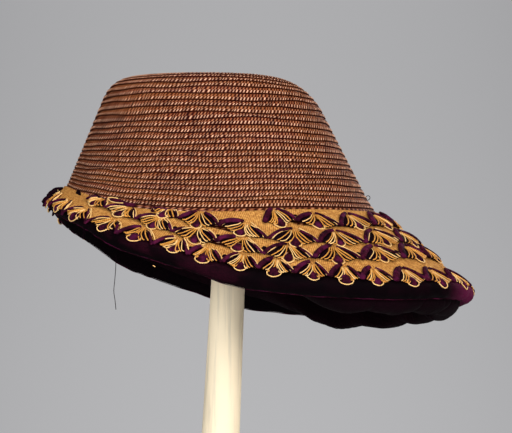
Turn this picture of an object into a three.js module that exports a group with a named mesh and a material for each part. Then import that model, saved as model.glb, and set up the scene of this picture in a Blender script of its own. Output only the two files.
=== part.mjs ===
// A straw bonnet on a plain post stand: a crown of sewn straw plait, a drooping brim of the same plait, four tiers
// of looped braid laid over the brim like shingles, a velvet roll round the edge and a puffed velvet facing below.
// Millimetres, +Z up, +X to the front of the bonnet. The origin is the centre of the foot's underside.
import * as THREE from "three";
import { mergeVertices } from "three/addons/utils/BufferGeometryUtils.js";

const gap = 0.3; // between pieces that touch
const curvedGap = 0.5; // between pieces that follow the same curved face

// The stand
const foot = { radius: 82, height: 14, edgeRound: 4, sides: 36 };
const post = { lowerRadius: 14.8, upperRadius: 9.6, leanDeg: 2.75, sides: 24 };
const knob = { radius: 26, flatRadius: 20, neckRadius: 13, height: 15, sides: 24 };

// Where the bonnet sits: the level its crown is measured from, and its reference axis ahead of the foot's centre
const bonnetLevel = 330;
const bonnetForward = 12;

// The straw. Loops are measured from the reference axis, heights from the bonnet's level.
const crownHeight = 84.5;
const brimDrop = 62.5; // from the bonnet's level down to the lowest place of the straw edge
const seamLoop = { front: 2, back: 28, halfWidth: 1.6, squareness: 2 }; // where the plait starts, on the tip
const shoulderLoop = { front: 50, back: 76.5, halfWidth: 54, squareness: 2.1 };
const creaseLoop = { front: 96, back: 106.7, halfWidth: 90, squareness: 2.1 };
const edgeLoop = { front: 160, back: 117.5, halfWidth: 128, squareness: 2.4 };
const shoulderRound = { front: 22, side: 14, back: 10 }; // how far from the corner the rounding starts
const creaseRound = { front: 9, side: 8, back: 5 };
const brimBow = 3; // how far the brim arches up between crease and edge, at the front
const strawWall = 1.6; // from the valley between two rows to the inside
const plait = { lift: 1, lip: 0.3, tipRows: 10, sideRows: 22 };
const strawColumns = 27;

// Heights of the crease and of the straw edge, as shares of the brim's drop, from the front round to the back
const lineStepDeg = 30;
const brimLines = [
  { turnDeg: 0, crease: -0.064, edge: -0.88 },
  { turnDeg: 30, crease: -0.088, edge: -0.912 },
  { turnDeg: 60, crease: -0.112, edge: -1 },
  { turnDeg: 90, crease: -0.136, edge: -0.944 },
  { turnDeg: 120, crease: -0.088, edge: -0.552 },
  { turnDeg: 150, crease: 0.048, edge: -0.2 },
  { turnDeg: 180, crease: 0.176, edge: 0 },
];

// The velvet roll round the edge, and the facing under the brim
const roll = { leg: 7, cloth: 1.2, backRadius: 4.2, frontRadius: 5.2, arcSteps: 4 };
const facing = { cloth: 1.6, lay: 0.9, headClear: 0.5 };
const puff = { depth: 20.6, reach: 18, columns: 3, fullToDeg: 70, goneByDeg: 112, notch: 0.3 };
// The outline of one puff, from the roll inwards: how far in from the straw edge each point lies, as a share of the
// puff's reach, how deep below the straw, as a share of its depth, and where there are no puffs, the share of the
// way from the roll to the head opening
const puffOutline = [
  { inward: 0.43, depth: 0.21, plain: 0 },
  { inward: -0.03, depth: 0.33, plain: 0.05 },
  { inward: -0.2, depth: 0.56, plain: 0.12 },
  { inward: -0.04, depth: 0.88, plain: 0.25 },
  { inward: 0.44, depth: 1, plain: 0.5 },
  { inward: 1, depth: 0.27, plain: 0.75 },
];

// The trimming: tiers of woven braid, each with a bundle of cords along its lower edge that zigzags between
// peaks and valleys, and a small loop that drops below each peak
const braid = { thickness: 1.2, lay: 0.8, tierPitch: 16.3, tuck: 3, creaseClear: 3, bundle: 2.4, peakRise: 11.6 };
const standOff = { lowest: 3.9, others: 3.1 }; // how far a tier's lower edge stands off the straw
const valleyLine = { back: 7.4, front: 12 }; // how far the lowest tier's valleys lie from the straw edge
const lowestLoops = 26; // spacing of the loops on the lowest tier
const upperLoops = 30; // and on the others
const tiers = [
  { name: "trim_tier_lowest", step: 0, endDeg: 180, loops: lowestLoops, overRoll: true },
  { name: "trim_tier_second", step: 1, endDeg: 150, loops: upperLoops },
  { name: "trim_tier_third", step: 2, endDeg: 116, loops: upperLoops },
  { name: "trim_tier_top", step: 3, endDeg: 80, loops: upperLoops },
];
// One repeat, from a peak through a valley: the relief halfway up to the peaks and at the valleys, as shares of
// the bundle's thickness, and how far the lower edge hangs below the valleys, as a share of the peaks' rise
const repeatColumns = [
  { middle: 0.9, valley: 0.6, hem: 0.36 },
  { middle: 1, valley: 0.9, hem: 0.12 },
  { middle: 0, valley: 1, hem: 0.1 },
  { middle: 1, valley: 0.9, hem: 0.12 },
];

const strawMaterial = new THREE.MeshStandardMaterial({ color: 0x7c4a30, roughness: 0.55, metalness: 0 });
const velvetMaterial = new THREE.MeshStandardMaterial({ color: 0x2a0a26, roughness: 0.95, metalness: 0 });
const braidMaterial = new THREE.MeshStandardMaterial({ color: 0xc89348, roughness: 0.7, metalness: 0 });
const standMaterial = new THREE.MeshStandardMaterial({ color: 0xe9dfc4, roughness: 0.8, metalness: 0 });

// A mix of a front, a side and a back value at one turn round the bonnet
function around(values, turn) {
  const alongside = Math.sin(turn) ** 2;
  const end = Math.cos(turn) > 0 ? values.front : values.back;
  return values.side * alongside + end * (1 - alongside);
}

// One column of the table of brim lines at any turn, smooth and the same on both sides
function lineAt(column, turn) {
  const last = brimLines.length - 1;
  const place = (Math.acos(Math.cos(turn)) * THREE.MathUtils.RAD2DEG) / lineStepDeg;
  const row = Math.min(Math.floor(place), last - 1);
  const value = (i) => brimLines[i < 0 ? -i : i > last ? 2 * last - i : i][column];
  const t = place - row;
  const [a, b, c, d] = [value(row - 1), value(row), value(row + 1), value(row + 2)];
  const slopeIn = (c - a) / 2;
  const slopeOut = (d - b) / 2;
  return (
    b * (2 * t ** 3 - 3 * t ** 2 + 1) +
    slopeIn * (t ** 3 - 2 * t ** 2 + t) +
    c * (3 * t ** 2 - 2 * t ** 3) +
    slopeOut * (t ** 3 - t ** 2)
  );
}

function loopPoint(loop, turn, height) {
  const power = 2 / loop.squareness;
  const swell = (x) => Math.sign(x) * Math.abs(x) ** power;
  const middle = (loop.front - loop.back) / 2;
  const reach = (loop.front + loop.back) / 2;
  return new THREE.Vector3(
    middle + reach * swell(Math.cos(turn)),
    loop.halfWidth * swell(Math.sin(turn)),
    height,
  );
}

function towards(from, to, distance) {
  return to.clone().sub(from).setLength(distance).add(from);
}

// The straw's section at one turn, from the start of the plait on the tip, over the shoulder, down the side,
// through the crease and out to the edge of the brim
const sections = new Map();
function sectionAt(turn) {
  const key = turn.toFixed(6);
  if (sections.has(key)) return sections.get(key);
  const start = loopPoint(seamLoop, turn, crownHeight);
  const shoulder = loopPoint(shoulderLoop, turn, crownHeight);
  const crease = loopPoint(creaseLoop, turn, brimDrop * lineAt("crease", turn));
  const edge = loopPoint(edgeLoop, turn, brimDrop * lineAt("edge", turn));
  const shoulderReach = around(shoulderRound, turn);
  const creaseReach = around(creaseRound, turn);
  const shoulderIn = towards(shoulder, start, shoulderReach);
  const shoulderOut = towards(shoulder, crease, shoulderReach);
  const creaseIn = towards(crease, shoulder, creaseReach);
  const creaseOut = towards(crease, edge, creaseReach);
  const bow = creaseOut.clone().lerp(edge, 0.5);
  bow.z += (2 * brimBow * crease.distanceTo(edge)) / (edgeLoop.front - creaseLoop.front + brimDrop);
  const curves = [
    new THREE.LineCurve3(start, shoulderIn),
    new THREE.QuadraticBezierCurve3(shoulderIn, shoulder, shoulderOut),
    new THREE.LineCurve3(shoulderOut, creaseIn),
    new THREE.QuadraticBezierCurve3(creaseIn, crease, creaseOut),
    new THREE.QuadraticBezierCurve3(creaseOut, bow, edge),
  ];
  const ends = [];
  for (const curve of curves) ends.push((ends.at(-1) ?? 0) + curve.getLength());
  const [flatLength, shoulderTo, creaseFrom, creaseTo, length] = ends;
  const section = {
    curves,
    ends,
    length,
    flatLength, // the flat of the tip
    shoulderAt: (flatLength + shoulderTo) / 2, // the middle of the shoulder's rounding
    creaseFrom, // where the crease's rounding starts
    creaseAt: (creaseFrom + creaseTo) / 2, // its middle, where the crown ends and the brim starts
    creaseTo,
  };
  sections.set(key, section);
  return section;
}

function sectionPoint(turn, along) {
  const { curves, ends } = sectionAt(turn);
  const found = ends.findIndex((end) => along <= end);
  const i = found < 0 ? ends.length - 1 : found;
  const start = i > 0 ? ends[i - 1] : 0;
  return curves[i].getPointAt(THREE.MathUtils.clamp((along - start) / (ends[i] - start), 0, 1));
}

// A point of the straw's surface: so far along the section, so far out from the surface. Past the edge it runs
// straight on.
function surfacePoint(turn, along, out) {
  const turnStep = 0.01;
  const nudge = 0.5;
  const { length } = sectionAt(turn);
  const inside = THREE.MathUtils.clamp(along, nudge, length - nudge);
  const outward = sectionPoint(turn, inside + nudge).sub(sectionPoint(turn, inside - nudge)).normalize();
  const round = sectionPoint(turn + turnStep, inside).sub(sectionPoint(turn - turnStep, inside));
  const normal = outward.clone().cross(round).normalize();
  const beyond = Math.max(along - length, 0);
  return sectionPoint(turn, along).addScaledVector(outward, beyond).addScaledVector(normal, out);
}

// The same, on the flat facets between the straw's columns, so that what lies on the straw follows its facets
function facetPoint(turn, place, out) {
  const step = (2 * Math.PI) / strawColumns;
  const column = Math.floor(turn / step + 1e-9);
  const share = turn / step - column;
  const at = (t) => surfacePoint(t, place(t), out);
  const near = at(column * step);
  return share < 1e-6 ? near : near.lerp(at((column + 1) * step), share);
}

// A point of the brim, so far in from the straw edge
function brimPoint(turn, inward, out) {
  return facetPoint(turn, (t) => sectionAt(t).length - inward, out);
}

function brimWidthAt(turn) {
  return sectionAt(turn).length - sectionAt(turn).creaseAt;
}

function ring(columns, pointAt) {
  return Array.from({ length: columns }, (_, i) => pointAt((i * 2 * Math.PI) / columns));
}

// A closed body from rows of points. Each row meets the next; closedRows joins the ends of every row, and
// closedStack joins the last row to the first. Otherwise the ends are capped.
function bodyFrom(rows, closedRows, closedStack) {
  const points = rows.flat();
  const width = rows[0].length;
  const faces = [];
  const index = (row, column) => (row % rows.length) * width + (column % width);
  const rowCount = closedStack ? rows.length : rows.length - 1;
  const columnCount = closedRows ? width : width - 1;
  for (let row = 0; row < rowCount; row++)
    for (let column = 0; column < columnCount; column++) {
      const a = index(row, column);
      const b = index(row, column + 1);
      const c = index(row + 1, column + 1);
      const d = index(row + 1, column);
      faces.push(a, d, b, b, d, c);
    }
  const cap = (loop, flip) => {
    const centre = loop.reduce((sum, i) => sum.add(points[i]), new THREE.Vector3());
    points.push(centre.divideScalar(loop.length));
    const hub = points.length - 1;
    loop.forEach((from, i) => {
      const to = loop[(i + 1) % loop.length];
      faces.push(hub, flip ? to : from, flip ? from : to);
    });
  };
  if (!closedStack) {
    cap(rows[0].map((_, i) => index(0, i)), false);
    cap(rows[0].map((_, i) => index(rows.length - 1, i)), true);
  }
  if (!closedRows) {
    cap(rows.map((_, i) => index(i, 0)), true);
    cap(rows.map((_, i) => index(i, width - 1)), false);
  }
  const geometry = new THREE.BufferGeometry();
  geometry.setAttribute("position", new THREE.Float32BufferAttribute(points.flatMap((p) => [p.x, p.y, p.z]), 3));
  geometry.setIndex(faces);
  return mergeVertices(geometry);
}

function plaitRing(place, out) {
  return ring(strawColumns, (t) => surfacePoint(t, place(sectionAt(t)), out));
}

// The crown: two rings of points for each row of plait, so that its lower edge is a lip, then the inside
function crownPlait() {
  const rows = [plaitRing(() => 0, plait.lift)];
  const addRow = (place) => {
    rows.push(plaitRing(place, plait.lift));
    rows.push(plaitRing((at) => place(at) + plait.lip, 0));
  };
  for (let row = 1; row <= plait.tipRows; row++) addRow((at) => (at.shoulderAt * row) / plait.tipRows);
  for (let row = 1; row < plait.sideRows; row++)
    addRow((at) => at.shoulderAt + ((at.creaseAt - at.shoulderAt) * row) / plait.sideRows);
  rows.push(plaitRing((at) => at.creaseAt, plait.lift));
  for (const place of [(at) => at.creaseAt, (at) => at.creaseFrom, (at) => at.shoulderAt, (at) => at.flatLength])
    rows.push(plaitRing(place, -strawWall));
  return bodyFrom(rows, true, false);
}

// The brim: it starts where the crown ends
function brimPlait() {
  const start = (at) => at.creaseAt + gap;
  const rollSide = (at) => at.length - roll.leg - curvedGap;
  const middle = (at) => (at.creaseTo + rollSide(at)) / 2;
  const outer = [start, (at) => at.creaseTo, middle, (at) => at.length];
  const inner = [(at) => at.length, rollSide, middle, (at) => at.creaseTo, start];
  const rows = outer.map((place) => plaitRing(place, plait.lift));
  rows.push(...inner.map((place) => plaitRing(place, -strawWall)));
  return bodyFrom(rows, true, true);
}

// The roll: a velvet strip folded over the edge, round at the fold
function velvetRoll() {
  const outerTop = plait.lift + curvedGap;
  const outerBottom = -strawWall - curvedGap;
  const middle = (outerTop + outerBottom) / 2;
  const rows = [];
  const addRing = (inward, out) =>
    rows.push(ring(strawColumns, (t) => brimPoint(t, inward(t), out(t))));
  const still = (value) => () => value;
  const radius = (t) => roll.backRadius + (roll.frontRadius - roll.backRadius) * (0.5 + Math.cos(t) / 2);
  addRing(still(roll.leg), still(outerTop + roll.cloth));
  for (let step = 0; step <= roll.arcSteps; step++) {
    const angle = Math.PI * (step / roll.arcSteps - 0.5);
    addRing((t) => -radius(t) * Math.cos(angle), (t) => middle - radius(t) * Math.sin(angle));
  }
  addRing(still(roll.leg), still(outerBottom - roll.cloth));
  addRing(still(roll.leg), still(outerBottom));
  addRing(still(-curvedGap), still(outerBottom));
  addRing(still(-curvedGap), still(outerTop));
  addRing(still(roll.leg), still(outerTop));
  return bodyFrom(rows, true, true);
}

// How full the puffs are at one column: full at the front, gone at the back, drawn in at every notch
function puffFullness(turn, column) {
  const turnDeg = Math.acos(Math.cos(turn)) * THREE.MathUtils.RAD2DEG;
  const full = 1 - THREE.MathUtils.smoothstep(turnDeg, puff.fullToDeg, puff.goneByDeg);
  return full * (column % puff.columns === 0 ? 1 - puff.notch : 1);
}

// The facing: a velvet sheet under the brim from the head opening to the roll, puffed along the front edge
function velvetFacing() {
  const columns = 2 * strawColumns;
  const top = -strawWall - facing.lay;
  const under = top - facing.cloth;
  const rollSide = roll.leg + curvedGap;
  const rows = [];
  const turnOf = (column) => (column * 2 * Math.PI) / columns;
  const addRing = (inward, out) =>
    rows.push(
      Array.from({ length: columns }, (_, i) => brimPoint(turnOf(i), inward(turnOf(i), i), out(turnOf(i), i))),
    );
  const opening = (t) => sectionAt(t).length - sectionAt(t).creaseTo - facing.headClear;
  const plainWidth = (t) => opening(t) - rollSide;
  addRing(opening, () => top);
  addRing(() => rollSide, () => top);
  for (const point of puffOutline) {
    const plainInward = (t) => rollSide + plainWidth(t) * point.plain;
    const inward = (t, i) => THREE.MathUtils.lerp(plainInward(t), puff.reach * point.inward, puffFullness(t, i));
    const out = (t, i) => THREE.MathUtils.lerp(under, -puff.depth * point.depth, puffFullness(t, i));
    addRing(inward, out);
  }
  addRing(opening, () => under);
  return bodyFrom(rows, true, true);
}

// Turns at equal steps along one line of the brim, from one end to the other
function evenTurns(inward, endTurn, spacing) {
  const samples = 720;
  const turnAt = (i) => -endTurn + (2 * endTurn * i) / samples;
  const reached = [0];
  let last = brimPoint(turnAt(0), inward(turnAt(0)), 0);
  for (let i = 1; i <= samples; i++) {
    const next = brimPoint(turnAt(i), inward(turnAt(i)), 0);
    reached.push(reached[i - 1] + next.distanceTo(last));
    last = next;
  }
  const total = reached[samples];
  const repeats = Math.round(total / spacing);
  const steps = repeats * repeatColumns.length;
  const turns = [];
  let i = 0;
  for (let step = 0; step <= steps; step++) {
    const wanted = (total * step) / steps;
    while (i < samples - 1 && reached[i + 1] < wanted) i++;
    turns.push(turnAt(i + (wanted - reached[i]) / (reached[i + 1] - reached[i])));
  }
  return turns;
}

// One tier: the woven band below, the bundle of cords in relief along its lower edge
function trimTier(tier) {
  const frontness = (t) => (0.5 + Math.cos(t) / 2) ** 1.5;
  const valley = (t) =>
    valleyLine.back + (valleyLine.front - valleyLine.back) * frontness(t) + tier.step * braid.tierPitch;
  const closed = tier.endDeg === 180;
  const turns = evenTurns(valley, THREE.MathUtils.degToRad(tier.endDeg), tier.loops);
  if (closed) turns.pop();
  const floor = plait.lift + braid.lay;
  const raised = floor + (tier.overRoll ? standOff.lowest : standOff.others);
  const step = tier.overRoll ? roll.leg - valleyLine.back + 2 * gap : braid.tuck + gap;
  const bandTop = (t) =>
    Math.min(valley(t) + braid.tierPitch + braid.tuck, brimWidthAt(t) - braid.creaseClear);
  const rows = turns.map((t, i) => {
    const column = repeatColumns[i % repeatColumns.length];
    const v = valley(t);
    const hem = v - column.hem * braid.peakRise;
    const clip = (rise) => Math.min(v + rise, bandTop(t) - gap);
    const underside = (inward) =>
      THREE.MathUtils.clamp(THREE.MathUtils.mapLinear(inward, bandTop(t), v + step, floor, raised), floor, raised);
    const point = (rise, above) => brimPoint(t, clip(rise), underside(clip(rise)) + above);
    return [
      brimPoint(t, bandTop(t), floor),
      brimPoint(t, bandTop(t), floor + braid.thickness),
      point(braid.peakRise, braid.thickness),
      point(braid.peakRise / 2, braid.thickness + column.middle * braid.bundle),
      point(0, braid.thickness + column.valley * braid.bundle),
      brimPoint(t, hem, raised + braid.thickness),
      brimPoint(t, hem, raised),
      brimPoint(t, clip(step), raised),
    ];
  });
  const stacked = rows[0].map((_, i) => rows.map((row) => row[i]));
  return bodyFrom(stacked, closed, true);
}

// Stand parts: the foot is turned round Z, the post is a taper whose top is pushed forward by its lean
function latheOnZ(profile, sides) {
  const points = profile.map(([radius, height]) => new THREE.Vector2(radius, height));
  return new THREE.LatheGeometry(points, sides).rotateX(Math.PI / 2);
}

const knobBottom = bonnetLevel + crownHeight - strawWall - gap - knob.height;
const postBottom = foot.height + gap;
const postTop = knobBottom - gap;
const lean = Math.tan(THREE.MathUtils.degToRad(post.leanDeg));
const knobForward = lean * (knobBottom - foot.height);

function standFoot() {
  const { radius, height, edgeRound } = foot;
  const profile = [
    [0, 0],
    [radius - edgeRound / 4, 0],
    [radius, edgeRound / 4],
    [radius, height - edgeRound],
    [radius - edgeRound * 0.3, height - edgeRound * 0.3],
    [radius - edgeRound, height],
    [0, height],
  ];
  return latheOnZ(profile, foot.sides);
}

function standPost() {
  const height = postTop - postBottom;
  const geometry = new THREE.CylinderGeometry(post.upperRadius, post.lowerRadius, height, post.sides);
  geometry.rotateX(Math.PI / 2).translate(0, 0, height / 2);
  const shear = new THREE.Matrix4().set(1, 0, lean, 0, 0, 1, 0, 0, 0, 0, 1, 0, 0, 0, 0, 1);
  return geometry.applyMatrix4(shear);
}

function standKnob() {
  const { radius, flatRadius, neckRadius, height } = knob;
  const profile = [
    [0, 0],
    [neckRadius, 0],
    [radius * 0.85, height * 0.35],
    [radius, height * 0.65],
    [(radius + flatRadius) / 2, height * 0.92],
    [flatRadius, height],
    [0, height],
  ];
  return latheOnZ(profile, knob.sides);
}

const object = new THREE.Group();
function add(group, name, geometry, material) {
  const mesh = new THREE.Mesh(geometry, material);
  mesh.name = name;
  group.add(mesh);
  return mesh;
}

const stand = new THREE.Group();
add(stand, "stand_foot", standFoot(), standMaterial);
add(stand, "stand_post", standPost(), standMaterial).position.z = postBottom;
add(stand, "stand_knob", standKnob(), standMaterial).position.set(knobForward, 0, knobBottom);

const bonnet = new THREE.Group();
bonnet.position.set(bonnetForward, 0, bonnetLevel);
add(bonnet, "crown_plait", crownPlait(), strawMaterial);
add(bonnet, "brim_plait", brimPlait(), strawMaterial);
add(bonnet, "velvet_roll", velvetRoll(), velvetMaterial);
add(bonnet, "velvet_facing", velvetFacing(), velvetMaterial);
for (const tier of tiers) add(bonnet, tier.name, trimTier(tier), braidMaterial);

object.add(stand, bonnet);
export default object;
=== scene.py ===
# A straw bonnet with looped braid and plum velvet on its plain post stand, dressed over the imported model.
import math
import bmesh
import bpy
import numpy as np
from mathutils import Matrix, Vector


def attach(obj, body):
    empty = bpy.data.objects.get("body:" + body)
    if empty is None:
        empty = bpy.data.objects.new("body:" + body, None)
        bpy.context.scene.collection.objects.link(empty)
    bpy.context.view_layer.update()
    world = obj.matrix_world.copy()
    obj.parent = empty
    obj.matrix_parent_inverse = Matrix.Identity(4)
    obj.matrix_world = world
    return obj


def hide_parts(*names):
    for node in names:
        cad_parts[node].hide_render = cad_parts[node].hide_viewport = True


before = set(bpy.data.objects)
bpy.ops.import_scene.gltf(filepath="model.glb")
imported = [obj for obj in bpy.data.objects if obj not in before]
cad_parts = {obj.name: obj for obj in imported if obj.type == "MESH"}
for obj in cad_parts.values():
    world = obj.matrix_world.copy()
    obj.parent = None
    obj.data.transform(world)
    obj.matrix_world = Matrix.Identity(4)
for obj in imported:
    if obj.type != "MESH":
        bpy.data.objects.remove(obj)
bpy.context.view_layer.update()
random = np.random.default_rng(1885)
mm = 0.001
fullTurn = 2 * math.pi
print("frame loaded")

# The straw's shape, in millimetres, the same as the model's; loops are measured from the bonnet's own axis
bonnet = {
    "level": 330, "forward": 12, "crownHeight": 84.5, "brimDrop": 62.5, "brimBow": 1.0,
    "seam": {"front": 2, "back": 28, "halfWidth": 1.6, "squareness": 2},
    "shoulder": {"front": 51.4, "back": 76.5, "halfWidth": 54, "squareness": 2.1},
    "crease": {"front": 96.6, "back": 106.7, "halfWidth": 90, "squareness": 2.1},
    "edge": {"front": 160, "back": 117.5, "halfWidth": 128, "squareness": 2.4},
    "shoulderRound": {"front": 27, "side": 14, "back": 15},
    "creaseRound": {"front": 9, "side": 8, "back": 5},
    # heights of the crease and the edge every 30 degrees from the front, as shares of the brim's drop
    "creaseLine": (-0.064, -0.088, -0.112, -0.136, -0.088, 0.048, 0.176),
    "edgeLine": (-0.93, -0.94, -1, -0.944, -0.552, -0.2, 0),
}


def unit(vectors):
    return vectors / np.linalg.norm(vectors, axis=-1, keepdims=True)


def lengthAlong(path):  # how far along the path each of its points lies
    return np.concatenate([[0], np.cumsum(np.linalg.norm(np.diff(path, axis=0), axis=-1))])


def fromFront(turn):  # degrees away from the front, on either side
    return np.degrees(np.arccos(np.cos(turn)))


def hump(place, middle, width):  # 1 in the middle, falling away smoothly on both sides
    return np.exp(-((place - middle) / width) ** 2)


def mixAround(values, turn):
    alongside = np.sin(turn) ** 2
    end = np.where(np.cos(turn) > 0, values["front"], values["back"])
    return values["side"] * alongside + end * (1 - alongside)


def smoothLine(heights, turn):  # heights are given at even steps from the front to the back
    last = len(heights) - 1
    place = fromFront(turn) / 180 * last
    row = np.minimum(place.astype(int), last - 1)
    t = place - row
    mirrored = np.array([heights[1], *heights, heights[-2]])
    before, here, there, after = (mirrored[row + i] for i in range(4))
    slopeIn = (there - before) / 2
    slopeOut = (after - here) / 2
    return (here * (2 * t**3 - 3 * t**2 + 1) + slopeIn * (t**3 - 2 * t**2 + t)
            + there * (3 * t**2 - 2 * t**3) + slopeOut * (t**3 - t**2))


def loopPoints(loop, turn, height):
    def swell(x):
        return np.sign(x) * np.abs(x) ** (2 / loop["squareness"])
    middle = (loop["front"] - loop["back"]) / 2
    reach = (loop["front"] + loop["back"]) / 2
    x = middle + reach * swell(np.cos(turn))
    return np.stack([x, loop["halfWidth"] * swell(np.sin(turn)), height + 0 * turn], -1)


def stepTowards(start, end, distance):
    return start + unit(end - start) * np.asarray(distance)[..., None]


class StrawShape:  # what everything lies on: tip, shoulder, side, crease and brim, at every turn
    turns = 720
    steps = 24

    def __init__(self, shape):
        turn = np.arange(self.turns) / self.turns * fullTurn
        heights = {
            "seam": shape["crownHeight"], "shoulder": shape["crownHeight"],
            "crease": shape["brimDrop"] * smoothLine(shape["creaseLine"], turn),
            "edge": shape["brimDrop"] * smoothLine(shape["edgeLine"], turn),
        }
        seam, shoulder, crease, edge = (loopPoints(shape[loop], turn, heights[loop]) for loop in heights)
        shoulderReach = mixAround(shape["shoulderRound"], turn)
        creaseReach = mixAround(shape["creaseRound"], turn)
        shoulderIn = stepTowards(shoulder, seam, shoulderReach)
        shoulderOut = stepTowards(shoulder, crease, shoulderReach)
        creaseIn = stepTowards(crease, shoulder, creaseReach)
        creaseOut = stepTowards(crease, edge, creaseReach)
        bow = (creaseOut + edge) / 2
        brimLength = np.linalg.norm(edge - crease, axis=-1)
        frontReach = shape["edge"]["front"] - shape["crease"]["front"] + shape["brimDrop"]
        bow[:, 2] += 2 * shape["brimBow"] * brimLength / frontReach
        curves = (
            (seam, None, shoulderIn), (shoulderIn, shoulder, shoulderOut), (shoulderOut, None, creaseIn),
            (creaseIn, crease, creaseOut), (creaseOut, bow, edge),
        )
        grid = [seam[:, None]]
        lengths = []
        for start, pull, end in curves:
            points, length = self.evenSteps(start, pull, end)
            grid.append(points[:, 1:])
            lengths.append(length)
        self.points = np.concatenate(grid, 1)
        self.points[..., 0] += shape["forward"]
        self.points[..., 2] += shape["level"]
        self.ends = np.cumsum(np.stack(lengths, -1), -1)
        outward = np.gradient(self.points, axis=1)
        around = np.roll(self.points, -1, 0) - np.roll(self.points, 1, 0)
        self.normals = unit(np.cross(outward, around))

    def evenSteps(self, start, pull, end):
        control = (start + end) / 2 if pull is None else pull
        t = np.linspace(0, 1, 4 * self.steps + 1)[None, :, None]
        dense = start[:, None] * (1 - t) ** 2 + 2 * control[:, None] * t * (1 - t) + end[:, None] * t**2
        reached = np.zeros(dense.shape[:2])
        reached[:, 1:] = np.cumsum(np.linalg.norm(np.diff(dense, axis=1), axis=-1), 1)
        wanted = np.linspace(0, 1, self.steps + 1)
        points = np.empty((len(start), self.steps + 1, 3))
        for i in range(len(start)):
            for axis in range(3):
                points[i, :, axis] = np.interp(wanted * reached[i, -1], reached[i], dense[i, :, axis])
        return points, reached[:, -1]

    def columns(self, turn):
        place = (np.asarray(turn, float) % fullTurn) / fullTurn * self.turns
        column = np.floor(place).astype(int)
        return column % self.turns, (column + 1) % self.turns, place - column

    def stations(self, turn):  # where each of the five curves ends, along the section from the seam
        a, b, share = self.columns(turn)
        return self.ends[a] * (1 - share[..., None]) + self.ends[b] * share[..., None]

    def shoulder(self, turn):
        ends = self.stations(turn)
        return (ends[..., 0] + ends[..., 1]) / 2

    def crease(self, turn):
        ends = self.stations(turn)
        return (ends[..., 2] + ends[..., 3]) / 2

    def edge(self, turn):
        return self.stations(turn)[..., 4]

    def at(self, turn, along, out=0.0):  # a point that stands off the straw by out
        turn, along, out = np.broadcast_arrays(np.asarray(turn, float), along, out)
        ends = self.stations(turn)
        length = ends[..., -1]
        inside = np.clip(along, 0, length)
        piece = np.minimum((inside[..., None] > ends).sum(-1), ends.shape[-1] - 1)
        starts = np.concatenate([np.zeros_like(ends[..., :1]), ends[..., :-1]], -1)
        start = np.take_along_axis(starts, piece[..., None], -1)[..., 0]
        end = np.take_along_axis(ends, piece[..., None], -1)[..., 0]
        place = (piece + (inside - start) / (end - start)) * self.steps
        row = np.minimum(place.astype(int), self.points.shape[1] - 2)
        v = (place - row)[..., None]
        a, b, u = self.columns(turn)
        u = u[..., None]

        def blend(grid):
            near = grid[a, row] * (1 - v) + grid[a, row + 1] * v
            far = grid[b, row] * (1 - v) + grid[b, row + 1] * v
            return near * (1 - u) + far * u
        lastStep = self.points[:, -1] - self.points[:, -2]
        outward = unit(lastStep[a] * (1 - u) + lastStep[b] * u)
        beyond = np.maximum(along - length, 0)[..., None]  # past the edge it runs straight on
        return blend(self.points) + outward * beyond + unit(blend(self.normals)) * out[..., None]


straw = StrawShape(bonnet)
print("straw shape ready")


def gridQuads(rows, columns, loopRows, loopColumns):
    lastRow, lastColumn = rows - (not loopRows), columns - (not loopColumns)
    r, c = np.meshgrid(np.arange(lastRow), np.arange(lastColumn), indexing="ij")
    steps = ((0, 0), (0, 1), (1, 1), (1, 0))
    corners = np.stack([(r + i) % rows * columns + (c + j) % columns for i, j in steps], -1)
    places = np.stack([(r + i) * (columns + loopColumns) + c + j for i, j in steps], -1)
    return corners.reshape(-1, 4), places.reshape(-1, 4)


def placeInScene(name, data):
    thing = bpy.data.objects.new(name, data)
    bpy.context.scene.collection.objects.link(thing)
    return thing


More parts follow.
